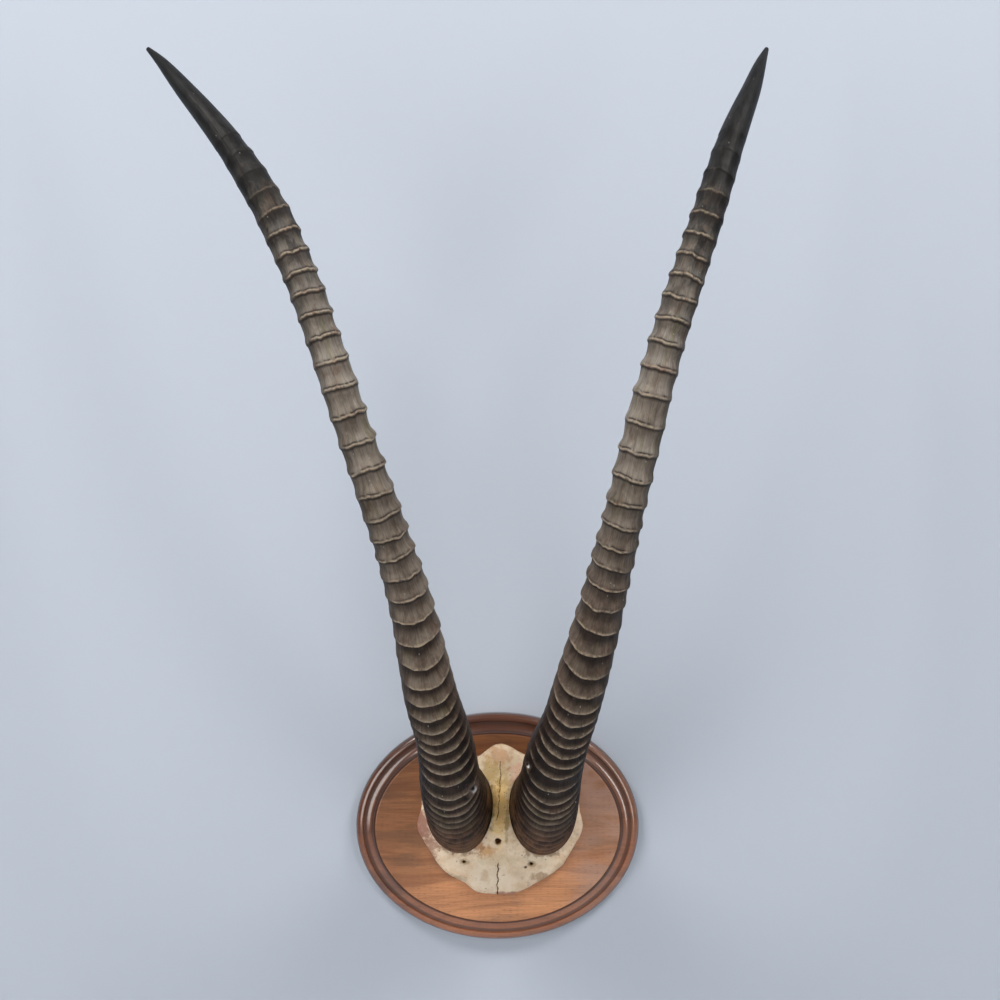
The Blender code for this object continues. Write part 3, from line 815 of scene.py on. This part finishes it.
def new_group(name, vectors_in, numbers_in):
    """A shader group with vector inputs, number inputs and one mask, and the sockets at its two ends."""
    group = bpy.data.node_groups.new(name, "ShaderNodeTree")
    for socket in vectors_in:
        group.interface.new_socket(name=socket, in_out="INPUT", socket_type="NodeSocketVector")
    for socket, value in numbers_in.items():
        made = group.interface.new_socket(name=socket, in_out="INPUT", socket_type="NodeSocketFloat")
        made.default_value = value
    group.interface.new_socket(name="Mask", in_out="OUTPUT", socket_type="NodeSocketFloat")
    given, out = group.nodes.new("NodeGroupInput"), group.nodes.new("NodeGroupOutput")
    return group, given.outputs, out.inputs["Mask"]


def use(tree, group, **values):
    """The mask that a shader group gives for these inputs."""
    return add(tree, "ShaderNodeGroup", values, node_tree=group).outputs["Mask"]


def mottle_group():
    """Soft cloudy patches from 0 to 1."""
    numbers = {"Scale": 50.0, "Detail": 3.0, "Low": 0.35, "High": 0.65}
    group, given, out = new_group("mottle", ["Vector"], numbers)
    field = noise(group, {"Vector": given["Vector"], "Scale": given["Scale"], "Detail": given["Detail"],
                          "Roughness": 0.6, "Distortion": 0.4})
    group.links.new(spread(group, field, given["Low"], given["High"]), out)
    return group


def pores_group():
    """Small scattered pits: 1 in a pit and 0 between them."""
    group, given, out = new_group("pores", ["Vector"], {"Scale": 800.0, "Size": 0.25, "Share": 0.5})
    cells = add(group, "ShaderNodeTexVoronoi", {"Vector": given["Vector"], "Scale": given["Scale"]})
    core = spread(group, sums(group, "DIVIDE", cells.outputs["Distance"], given["Size"]), 0.5, 1.0, 1.0, 0.0)
    tone = add(group, "ShaderNodeSeparateColor", {"Color": cells.outputs["Color"]}).outputs[0]
    chosen = sums(group, "LESS_THAN", tone, given["Share"])
    group.links.new(times(group, core, chosen), out)
    return group


def stain_group():
    """A soft oval patch with an uneven edge round a centre, from 1 inside to 0 outside."""
    group, given, out = new_group("stain", ["Vector", "Centre", "Reach"], {"Ragged": 0.5, "Strength": 1.0})
    away = vectors(group, "SUBTRACT", given["Vector"], given["Centre"])
    distance = length_of(group, vectors(group, "DIVIDE", away, given["Reach"]))
    field = noise(group, {"Vector": given["Vector"], "Scale": 170.0, "Detail": 4.0, "Roughness": 0.65})
    uneven = times(group, sums(group, "SUBTRACT", field, 0.5), given["Ragged"])
    mask = spread(group, sums(group, "ADD", distance, times(group, uneven, 3.0)), 0.35, 1.15, 1.0, 0.0)
    group.links.new(times(group, mask, given["Strength"]), out)
    return group


def streaks_group():
    """Fine lines from 0 to 1, drawn out along the direction that the stretch is small in."""
    group, given, out = new_group("streaks", ["Vector", "Stretch"], {"Scale": 600.0})
    longer = vectors(group, "MULTIPLY", given["Vector"], given["Stretch"])
    field = noise(group, {"Vector": longer, "Scale": given["Scale"], "Detail": 5.0, "Roughness": 0.62})
    group.links.new(spread(group, field, 0.28, 0.72), out)
    return group


def lacquered_walnut(mottle, pores, streaks):
    """Lacquered walnut with its grain across the plaque."""
    material, tree, shader = new_material("lacquered_walnut")
    where = add(tree, "ShaderNodeTexCoord").outputs["Object"]
    across, depth, up = add(tree, "ShaderNodeSeparateXYZ", {0: where}).outputs
    # Growth rings as bands across the face that wander slowly along the grain
    drift = noise(tree, {"Vector": scaled(tree, where, (4.0, 9.0, 14.0)), "Scale": 1.0, "Detail": 2.0,
                         "Roughness": 0.5})
    ring_place = sums(tree, "ADD", times(tree, up, 62.0), times(tree, drift, 6.5))
    ring_place = sums(tree, "ADD", ring_place, times(tree, depth, 40.0))
    rings = noise(tree, {"W": ring_place, "Scale": 1.0, "Detail": 3.5, "Roughness": 0.62}, "1D")
    bands = spread(tree, rings, 0.3, 0.72)
    fibre = use(tree, streaks, Vector=where, Stretch=(0.035, 1.0, 1.0), Scale=900.0)
    broad = use(tree, streaks, Vector=where, Stretch=(0.12, 0.6, 1.0), Scale=90.0)
    cloud = use(tree, mottle, Vector=where, Scale=9.0)
    colour = blend(tree, bands, (0.44, 0.205, 0.1), (0.17, 0.062, 0.026))
    colour = lay(tree, colour, broad, 0.6, (0.42, 0.205, 0.102))
    colour = lay(tree, colour, fibre, 0.4, (0.12, 0.045, 0.02))
    colour = lay(tree, colour, cloud, 0.25, (0.27, 0.118, 0.062))
    # Smoky grey-brown streaks
    smoke = use(tree, mottle, Vector=scaled(tree, where, (0.22, 1.0, 1.0), (0.4, 0.0, 0.1)), Scale=70.0,
                Detail=4.0, Low=0.5, High=0.66)
    colour = lay(tree, colour, smoke, 0.55, (0.13, 0.07, 0.045))
    # Painted shade makes the board darker towards its top and at its left, and painted light makes it
    # lighter towards its foot
    tone = blend(tree, spread(tree, up, -0.095, 0.095), (2.12, 2.05, 1.8), (0.56, 0.45, 0.32))
    colour = blend(tree, 1.0, colour, tone, "MULTIPLY")
    colour = tint(tree, colour, spread(tree, across, -0.12, -0.02, 1.0, 0.0), (0.62, 0.58, 0.56))
    # Painted sheen: pale greyish-pink hazy streaks at its right stand in for the lacquer's sheen
    painted_sheen = use(tree, mottle, Vector=scaled(tree, where, (0.4, 1.0, 1.0), (0.1, 0.3, 0.5)), Scale=35.0,
               Low=0.3, High=0.6)
    painted_sheen = times(tree, painted_sheen, spread(tree, across, 0.045, 0.085, 0.0, 0.6))
    colour = blend(tree, painted_sheen, colour, (0.42, 0.27, 0.215))
    pits = use(tree, pores, Vector=scaled(tree, where, (0.07, 1.0, 1.0)), Scale=2600.0, Size=0.34, Share=0.4)
    colour = lay(tree, colour, pits, 0.5, (0.07, 0.026, 0.012))
    # The moulding takes more stain than the face
    moulding = spread(tree, depth, -0.0188, -0.0180)
    colour = tint(tree, colour, moulding, (0.64, 0.48, 0.38))
    # Painted shade on the steep side of the hollow, just outside the face
    width, height = PLAQUE_HALF_WIDTH - MOULDING_WIDTH, PLAQUE_HALF_HEIGHT - MOULDING_WIDTH
    face_share = vectors(tree, "MULTIPLY", where, (1.0 / (width * MM), 0.0, 1.0 / (height * MM)))
    from_face = length_of(tree, face_share)
    painted_cove_shade = window(tree, from_face, 1.001, 1.004, 1.022, 1.04)
    colour = lay(tree, colour, painted_cove_shade, 0.8, (0.04, 0.013, 0.006))
    # Painted shade also darkens the fine step between the roll and the hollow
    painted_quirk_shade = spread(tree, depth, -0.01195, -0.01172)
    painted_quirk_shade = times(tree, painted_quirk_shade, spread(tree, from_face, 1.121, 1.129, 1.0, 0.0))
    colour = lay(tree, colour, painted_quirk_shade, 0.7, (0.05, 0.018, 0.008))
    # Painted shade darkens the outer roll, and the bare back takes little stain and no lacquer
    painted_outer_shade = spread(tree, depth, -0.0115, -0.0085)
    colour = lay(tree, colour, painted_outer_shade, 0.75, (0.045, 0.016, 0.007))
    back = spread(tree, depth, -0.0009, -0.0002)
    colour = lay(tree, colour, back, 0.6, (0.3, 0.17, 0.1))
    rough = sums(tree, "ADD", times(tree, fibre, 0.12), 0.34)
    rough = sums(tree, "ADD", rough, times(tree, back, 0.3))
    height = sums(tree, "SUBTRACT", times(tree, fibre, 0.35), pits)
    dress(tree, shader, colour, rough, height, 0.25, 0.0002)
    coat = times(tree, sums(tree, "MULTIPLY_ADD", moulding, 0.55, 0.45), sums(tree, "SUBTRACT", 1.0, back))
    fill(tree, shader, {"Specular IOR Level": 0.25, "Coat Weight": coat, "Coat Roughness": 0.15,
                        "Coat IOR": 1.75})
    return material


def dry_bone(mottle, pores, stain):
    """Boiled and bleached bone with ochre, pink and brown stains, and painted shadow at the edges of the
    waist between the horns.
    """
    material, tree, shader = new_material("dry_bone")
    where = add(tree, "ShaderNodeTexCoord").outputs["Object"]
    flat = scaled(tree, where, (1.0, 0.0, 1.0))
    across, depth, up = add(tree, "ShaderNodeSeparateXYZ", {0: where}).outputs
    cloud = use(tree, mottle, Vector=where, Scale=60.0, Detail=4.0, Low=0.35, High=0.68)
    small_cloud = use(tree, mottle, Vector=where, Scale=260.0, Detail=4.0, Low=0.4, High=0.7)
    colour = blend(tree, cloud, (0.885, 0.71, 0.515), (0.755, 0.545, 0.345))
    colour = lay(tree, colour, small_cloud, 0.4, (0.92, 0.785, 0.615))
    for x, z, wide, high, ragged, strength, *tone in BONE_STAINS_AND_SHADOWS:
        mask = use(tree, stain, Vector=flat, Centre=(x * MM, 0.0, z * MM), Reach=(wide * MM, 1.0, high * MM),
                   Ragged=ragged, Strength=strength)
        colour = blend(tree, mask, colour, tone)
    # Crowded pinprick pores and scattered red-brown specks
    pits = use(tree, pores, Vector=where, Scale=520.0, Size=0.32, Share=0.3)
    crowd = use(tree, mottle, Vector=where, Scale=38.0, Detail=2.0, Low=0.45, High=0.62)
    pits = times(tree, pits, crowd)
    colour = lay(tree, colour, pits, 0.6, (0.2, 0.085, 0.045))
    specks = use(tree, pores, Vector=where, Scale=190.0, Size=0.2, Share=0.16)
    colour = lay(tree, colour, specks, 0.55, (0.33, 0.12, 0.065))
    # The low rim is darker next to the board
    colour = lay(tree, colour, spread(tree, depth, -0.0235, -0.0195), 0.7, (0.18, 0.09, 0.05))
    # The seam is black inside and the crack is brown
    seam, crack = line_mask(tree, across, up, SUTURE, 0.5), line_mask(tree, across, up, CRACK, 0.45)
    colour = blend(tree, seam, colour, (0.02, 0.012, 0.008))
    colour = blend(tree, crack, colour, (0.15, 0.095, 0.035))
    rough = sums(tree, "SUBTRACT", 0.62, times(tree, cloud, 0.14))
    height = sums(tree, "SUBTRACT", times(tree, small_cloud, 0.6), pits)
    dress(tree, shader, colour, rough, height, 0.55, 0.0004)
    fill(tree, shader, {"Subsurface Weight": 0.08, "Subsurface Radius": (0.004, 0.002, 0.001),
                        "Subsurface Scale": 0.5})
    return material


def line_mask(tree, across, up, line, half_width):
    """1 along a thin wavy line down the bone, with breaks in it, and 0 away from it."""
    rows = sorted(line, key=lambda row: row[1])
    low, high = rows[0][1], rows[-1][1]
    curve = add(tree, "ShaderNodeFloatCurve", {"Value": spread(tree, up, low * MM, high * MM, way="LINEAR")})
    points = curve.mapping.curves[0].points
    places = [((z - low) / (high - low), x / LINE_FIELD + 0.5) for x, z in rows]
    points[0].location, points[-1].location = places[0], places[-1]
    for place in places[1:-1]:
        points.new(*place)
    for point in points:
        point.handle_type = "VECTOR"
    curve.mapping.update()
    line_place = times(tree, sums(tree, "SUBTRACT", curve.outputs[0], 0.5), LINE_FIELD * MM)
    away = sums(tree, "ABSOLUTE", sums(tree, "SUBTRACT", across, line_place))
    wide = noise(tree, {"W": up, "Scale": 420.0, "Detail": 2.0}, "1D")
    wide = times(tree, spread(tree, wide, 0.34, 0.6, 0.25, 1.1), half_width * MM)
    mask = spread(tree, sums(tree, "DIVIDE", away, wide), 0.6, 1.15, 1.0, 0.0)
    inside = window(tree, up, (low - 1.0) * MM, (low + 0.5) * MM, (high - 1.0) * MM, (high + 1.0) * MM)
    return times(tree, mask, inside)


def horn_keratin(name, mottle, pores, streaks, stain):
    """Weathered ringed horn: grey-brown walls, pale worn beads with a painted highlight on the rings,
    painted shade in the grooves and hollows and on the sides, and a dark tip.
    """
    material, tree, shader = new_material(name)
    where = add(tree, "ShaderNodeTexCoord").outputs["Object"]
    straight = add(tree, "ShaderNodeAttribute", attribute_name="straight").outputs["Vector"]
    rings = add(tree, "ShaderNodeAttribute", attribute_name="rings")
    bead, groove, painted_hollow_shade = add(tree, "ShaderNodeSeparateColor", {"Color": rings.outputs["Color"]}).outputs
    along = rings.outputs["Alpha"]

    def patches(scale, low, high, detail, squash=1.0, shift=(0.0, 0.0, 0.0)):
        """Cloudy patches on the straight horn, squashed to this share across and drawn out along it."""
        vector = scaled(tree, straight, (1.0, 1.0, squash), shift)
        return use(tree, mottle, Vector=vector, Scale=scale, Detail=detail, Low=low, High=high)

    # Colour from root to tip
    ramp = add(tree, "ShaderNodeValToRGB", {"Fac": along})
    while len(ramp.color_ramp.elements) < len(HORN_TONES):
        ramp.color_ramp.elements.new(0.5)
    for element, (place, tone) in zip(ramp.color_ramp.elements, HORN_TONES):
        element.position = place
        element.color = (*tone, 1.0)
    colour = ramp.outputs[0]
    fine = use(tree, streaks, Vector=straight, Stretch=(1.0, 1.0, 0.055), Scale=900.0)
    wide = use(tree, streaks, Vector=straight, Stretch=(1.0, 1.0, 0.12), Scale=230.0)
    cloud = patches(70.0, 0.38, 0.66, 4.0)
    red = patches(85.0, 0.52, 0.7, 3.0, 0.8, (0.3, 0.1, 0.2))
    olive = patches(60.0, 0.52, 0.7, 3.0, 0.5, (0.7, 0.4, 0.9))
    body = sums(tree, "SUBTRACT", 1.0, spread(tree, along, 0.72, 0.84))
    colour = lay(tree, colour, times(tree, cloud, 0.45), body, (0.205, 0.172, 0.13))
    colour = lay(tree, colour, times(tree, red, 0.5), body, (0.125, 0.066, 0.042))
    colour = lay(tree, colour, times(tree, olive, 0.55), body, (0.12, 0.108, 0.05))
    colour = tint(tree, colour, times(tree, fine, 0.5), (0.36, 0.34, 0.32))
    paler = times(tree, wide, sums(tree, "MULTIPLY_ADD", body, 0.3, 0.2))
    colour = tint(tree, colour, paler, (2.0, 1.95, 1.85))
    # Painted shade darkens the walls into their hollows and the folds at the root
    colour = tint(tree, colour, painted_hollow_shade, (0.18, 0.135, 0.112))
    # Painted shade darkens the side away from the other horn
    outward = -1.0 if name == "horn_left" else 1.0
    side = add(tree, "ShaderNodeSeparateXYZ", {0: straight}).outputs[0]
    painted_outer_shade = spread(tree, times(tree, side, outward), 0.010, 0.0195)
    colour = tint(tree, colour, painted_outer_shade, (0.42, 0.4, 0.39))
    # Painted shade darkens both sides of the lower horn too
    both = spread(tree, sums(tree, "ABSOLUTE", side), 0.008, 0.018)
    both = times(tree, both, spread(tree, along, 0.22, 0.36, 1.0, 0.0))
    colour = tint(tree, colour, both, (0.44, 0.36, 0.33))
    # Painted shade on the lower third of each horn
    painted_low_shade = times(tree, window(tree, along, 0.10, 0.17, 0.38, 0.50), PAINTED_LOW_SHADE[name])
    colour = tint(tree, colour, painted_low_shade, (0.45, 0.38, 0.35))
    # Large dark patches of dirt and wear, and smaller grimy ones
    dirt = patches(42.0, 0.46, 0.68, 5.0, 0.8, (0.15, 0.6, 0.3))
    colour = tint(tree, colour, times(tree, dirt, 0.6), (0.42, 0.36, 0.32))
    grime = patches(120.0, 0.44, 0.64, 4.0, 0.9, (0.8, 0.1, 0.7))
    grime = times(tree, grime, spread(tree, along, 0.25, 0.6, 0.6, 0.3))
    colour = tint(tree, colour, grime, (0.4, 0.32, 0.28))
    # Dark blotches and smudges on the smooth end of the horn
    blotch = patches(95.0, 0.46, 0.6, 3.0, 0.7, (0.5, 0.2, 0.6))
    blotch = times(tree, blotch, spread(tree, along, 0.6, 0.74, 0.0, 0.9))
    colour = tint(tree, colour, blotch, (0.35, 0.33, 0.32))
    # A few pale specks
    squashed = scaled(tree, straight, (1.0, 1.0, 0.6))
    speck = use(tree, pores, Vector=squashed, Scale=240.0, Size=0.14, Share=0.1)
    colour = lay(tree, colour, speck, 0.5, (0.45, 0.43, 0.4))
    # Worn pale beads with a painted highlight where they face the front, and the dark lines of painted shade
    # and shadow on both sides of them
    worn = patches(330.0, 0.3, 0.62, 4.0)
    tone = blend(tree, red, (0.45, 0.355, 0.25), (0.4, 0.262, 0.19))
    colour = lay(tree, colour, bead, sums(tree, "MULTIPLY_ADD", worn, 0.85, 0.05), tone)
    colour = lay(tree, colour, groove, 0.95, (0.018, 0.011, 0.008))
    # The root is red-brown and ochre next to the bone
    root = times(tree, spread(tree, along, 0.035, 0.075, 1.0, 0.0), cloud)
    colour = lay(tree, colour, root, 0.75, (0.175, 0.078, 0.038))
    # The chip's hole is painted black as shade, with a pale lower lip, in skin that is worn paler round it
    (x, out, z), radius = CHIPS[name]
    for centre, reach, ragged, strength, tone in (
            ((x, -out, z), (4.0, 14.0, 4.0), 0.7, 0.6, (0.185, 0.128, 0.102)),
            ((x + 0.4, -out - 0.5, z - 0.9), (1.4, 8.0, 1.75), 0.4, 1.0, (1.0, 0.97, 0.93)),
            ((x - 0.4, -out, z + 0.3), (1.55, 8.0, 2.0), 0.2, 1.0, (0.008, 0.006, 0.005))):
        mask = use(tree, stain, Vector=where, Centre=[place * MM for place in centre],
                   Reach=[share * radius * MM for share in reach], Ragged=ragged, Strength=strength)
        colour = blend(tree, mask, colour, tone)
    rough = sums(tree, "MULTIPLY_ADD", fine, 0.16, 0.46)
    rough = sums(tree, "SUBTRACT", rough, times(tree, spread(tree, along, 0.8, 0.9), 0.06))
    pits = use(tree, pores, Vector=straight, Scale=620.0, Size=0.3, Share=0.35)
    height = sums(tree, "ADD", times(tree, fine, body), times(tree, wide, 0.6))
    height = sums(tree, "SUBTRACT", height, times(tree, pits, 0.5))
    dress(tree, shader, colour, rough, height, 0.5, 0.0004)
    fill(tree, shader, {"Specular IOR Level": 0.22})
    return material


# The room, the lamps and the camera

def plain_surface(name, colour, roughness, one_sided=False):
    """A plain matt surface for the room. A one-sided one isn't there when it is looked at from its back."""
    material, tree, shader = new_material(name)
    shader.inputs["Base Color"].default_value = (*colour, 1.0)
    shader.inputs["Roughness"].default_value = roughness
    shader.inputs["Specular IOR Level"].default_value = 0.1
    if one_sided:
        clear = add(tree, "ShaderNodeBsdfTransparent").outputs[0]
        back = add(tree, "ShaderNodeNewGeometry").outputs["Backfacing"]
        mixed = add(tree, "ShaderNodeMixShader", {0: back, 1: shader.outputs[0], 2: clear}).outputs[0]
        tree.links.new(mixed, tree.nodes["Material Output"].inputs["Surface"])
    return material


def make_room():
    """The wall, which is open behind the board so that light reaches its back, and the floor."""
    width, height = PLAQUE_HALF_WIDTH - WALL_OVERLAP, PLAQUE_HALF_HEIGHT - WALL_OVERLAP
    wall = oval_sheet("wall", width, height, "NOTHING", WALL_SETBACK)
    bpy.ops.mesh.extrude_region_move()
    resize_flat(WALL_HALF_WIDTH / width, WALL_HALF_WIDTH / height)
    bpy.ops.object.mode_set(mode="OBJECT")
    if wall.data.polygons[0].normal.y > 0:
        wall.data.flip_normals()
    wall.data.materials.append(plain_surface("pale_wall", (0.5, 0.545, 0.62), 0.9, one_sided=True))
    nothing_selected()
    bpy.ops.mesh.primitive_plane_add(size=FLOOR_SIZE, location=(0.0, 0.0, FLOOR_HEIGHT))
    floor = bpy.context.object
    floor.name = "floor"
    floor.data.materials.append(plain_surface("pale_floor", (0.62, 0.64, 0.67), 0.8))


def add_lamp(name, direction, size, power, colour):
    """A soft box, of a width and height in metres, that stands off the middle of the horns and faces it."""
    way = Vector(direction).normalized()
    light = bpy.data.lights.new(name, "AREA")
    light.shape = "RECTANGLE"
    light.size, light.size_y = size
    light.energy = power
    light.color = colour
    lamp = bpy.data.objects.new(name, light)
    bpy.context.collection.objects.link(lamp)
    lamp.location = Vector(LAMP_TARGET) + way * LAMP_DISTANCE
    lamp.rotation_euler = way.to_track_quat("Z", "Y").to_euler()
    lamp.visible_camera = False


def make_light():
    warm = (1.0, 0.985, 0.96)
    add_lamp("lamp_high_left", (-0.60, -0.60, 0.90), (0.7, 0.7), 29.5, warm)
    add_lamp("lamp_high_right", (0.64, -0.60, 0.88), (0.7, 0.7), 29.5, warm)
    add_lamp("lamp_low_left", (-0.60, -0.80, 0.0), (1.2, 1.3), 19.0, warm)
    add_lamp("lamp_low_right", (0.58, -0.81, 0.0), (0.40, 1.2), 9.0, warm)
    add_lamp("lamp_behind", (0.1, 1.0, 0.7), (1.4, 1.4), 14.0, (0.95, 0.97, 1.0))
    world = bpy.data.worlds.new("studio")
    world.use_nodes = True
    background = world.node_tree.nodes["Background"]
    background.inputs["Color"].default_value = (0.86, 0.90, 0.96, 1.0)
    background.inputs["Strength"].default_value = 0.16
    bpy.context.scene.world = world


def make_camera():
    eye = bpy.data.cameras.new("camera")
    eye.lens = CAMERA_LENS
    eye.sensor_width = SENSOR_WIDTH
    camera = bpy.data.objects.new("camera", eye)
    bpy.context.collection.objects.link(camera)
    camera.location = CAMERA_PLACE
    camera.rotation_euler = (math.pi / 2, 0.0, 0.0)
    bpy.context.scene.camera = camera
    bpy.context.scene.view_settings.view_transform = "Standard"


def main():
    mottle, pores = mottle_group(), pores_group()
    streaks, stain = streaks_group(), stain_group()
    make_plaque(lacquered_walnut(mottle, pores, streaks))
    make_skull_cap(dry_bone(mottle, pores, stain))
    for name in HORN_STATIONS:
        make_horn(name, horn_keratin(name, mottle, pores, streaks, stain))
    make_room()
    make_light()
    make_camera()


main()
